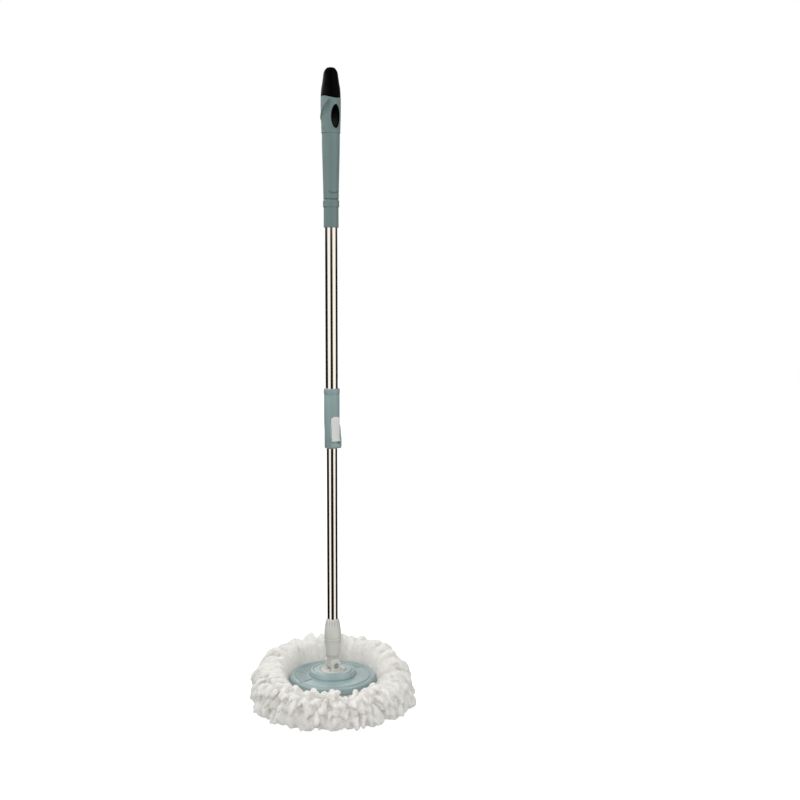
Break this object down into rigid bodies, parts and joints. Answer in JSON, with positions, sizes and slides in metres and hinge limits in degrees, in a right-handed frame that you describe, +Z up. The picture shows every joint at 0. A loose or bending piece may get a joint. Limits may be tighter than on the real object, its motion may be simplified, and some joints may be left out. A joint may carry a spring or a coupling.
{
  "type": "spin mop",
  "caption": "Floor mop with a telescopic twist-drive pole, lever lock, tilting and swivelling round head, and a ring of white microfibre loops.",
  "frame": {"origin": "on the floor under the pole's axis, at the bottom centre of the fringe", "axes": "+Z up along the pole; the lock lever and the hanging hole face -Y; the head tilts about Y"},
  "size_m": [0.297, 0.2971, 1.1523],
  "materials": {
    "grip_plastic": "satin",
    "sleeve_plastic": "satin",
    "plate_plastic": "satin",
    "black_plastic": "gloss",
    "black_rubber": "matte",
    "tube_steel": "polished",
    "fastener_steel": "satin",
    "lever_plastic": "satin",
    "white_plastic": "satin",
    "inner_nylon": "matte",
    "microfibre": "matte"
  },
  "bodies": {
    "handle": {"grip": "grip_plastic", "end_cap": "black_plastic", "hang_eyelet": "black_rubber", "upper_tube": "tube_steel", "bar_anchor": "inner_nylon", "anchor_rivet": "fastener_steel", "twist_bar": "fastener_steel", "stop_washer": "inner_nylon", "stop_pin": "fastener_steel", "lock_sleeve": "sleeve_plastic", "sleeve_screw": "fastener_steel", "lever_pin": "fastener_steel", "brake_shoe": "black_rubber"},
    "lever": {"lock_lever": "lever_plastic"},
    "guide": {"guide_bush": "inner_nylon"},
    "lower_pole": {"lower_tube": "tube_steel", "nut_housing": "inner_nylon", "drive_nut": "fastener_steel", "nut_cap": "inner_nylon", "housing_pins": "fastener_steel", "connector_barrel": "white_plastic", "connector_screw": "fastener_steel", "knuckle": "white_plastic"},
    "fork": {"fork_base": "white_plastic", "hinge_pin": "fastener_steel", "pin_nut": "fastener_steel", "base_screws": "fastener_steel", "swivel_retainer": "white_plastic", "swivel_washer": "inner_nylon"},
    "plate": {"mop_plate": "plate_plastic", "refill_ring_upper": "white_plastic", "refill_ring_lower": "white_plastic", "refill_rivets": "white_plastic", "strands": "microfibre"}
  },
  "joints": [
    {"name": "pole_slide", "type": "slide", "parent": "handle", "child": "guide", "axis": [0, 0, 1], "range_m": [0, 0.3]},
    {"name": "pole_spin", "type": "hinge", "parent": "guide", "child": "lower_pole", "pos_m": [0, 0, 0.656], "axis": [0, 0, 1], "range_deg": [0, 901]},
    {"name": "head_tilt", "type": "hinge", "parent": "lower_pole", "child": "fork", "pos_m": [0, 0, 0.0776], "axis": [0, 1, 0], "range_deg": [-75, 75]},
    {"name": "plate_spin", "type": "hinge", "parent": "fork", "child": "plate", "pos_m": [0, 0, 0.06], "axis": [0, 0, 1], "continuous": true},
    {"name": "lever_swing", "type": "hinge", "parent": "handle", "child": "lever", "pos_m": [0, -0.0132, 0.495], "axis": [1, 0, 0], "range_deg": [0, 110]}
  ],
  "couplings": [
    {"joint": "pole_spin", "follows": "pole_slide", "rad_per_m": 52.36}
  ]
}
